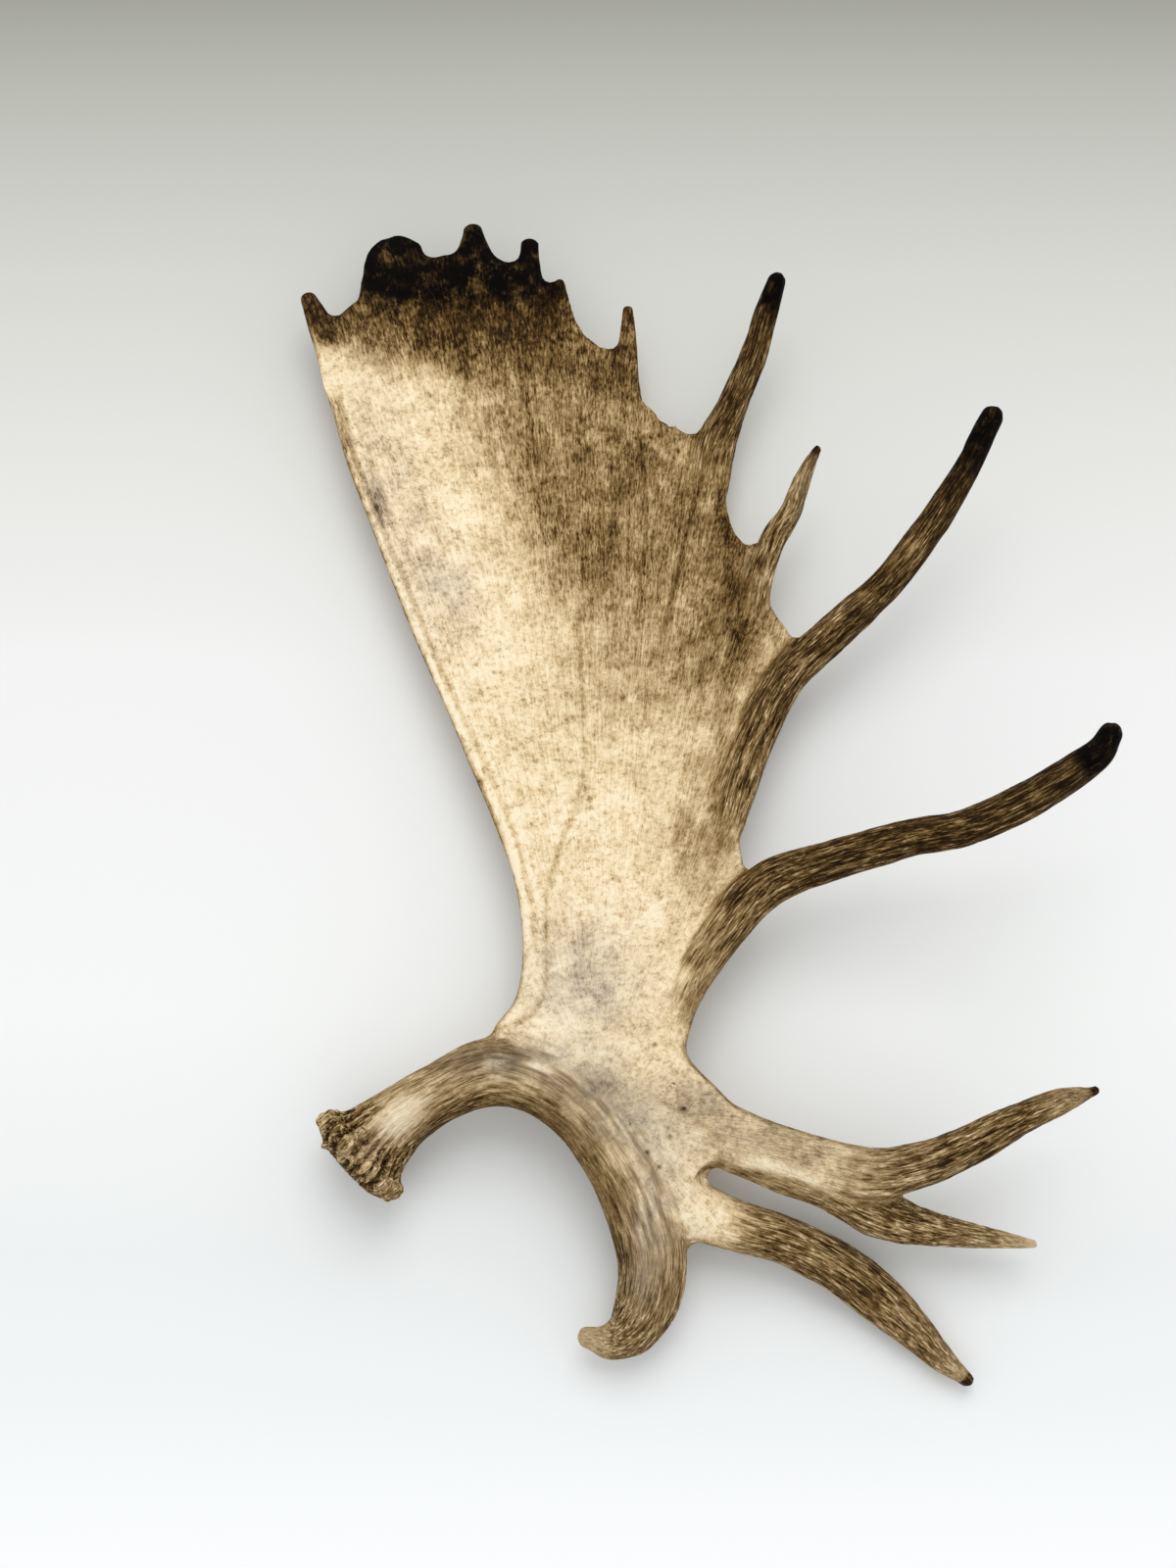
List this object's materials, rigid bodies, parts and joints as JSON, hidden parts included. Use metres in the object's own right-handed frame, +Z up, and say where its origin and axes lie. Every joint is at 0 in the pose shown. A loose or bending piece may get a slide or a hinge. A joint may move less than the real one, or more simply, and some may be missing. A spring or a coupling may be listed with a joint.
{
  "type": "moose antler",
  "caption": "Shed left moose antler lying on its back: knobbly burr, curved beam, broad dished palm with short points and long tines, and a forked brow palm.",
  "frame": {"origin": "middle of the bounding box, on the ground the antler lies on", "axes": "+Z up, away from the ground; +Y from the brow palm to the top of the main palm; +X from the burr's side to the tips of the tines"},
  "size_m": [0.6442, 0.9724, 0.2008],
  "materials": {
    "pale_antler": "satin",
    "brown_antler": "satin"
  },
  "bodies": {
    "root": {"beam": "pale_antler", "palm": "pale_antler", "brow_palm": "pale_antler", "palm_tine_1": "brown_antler", "palm_tine_2": "brown_antler", "palm_tine_3": "brown_antler", "palm_tine_4": "brown_antler", "brow_tine_1": "brown_antler", "brow_tine_2": "brown_antler", "brow_tine_3": "brown_antler", "brow_tine_4": "brown_antler"}
  },
  "joints": []
}
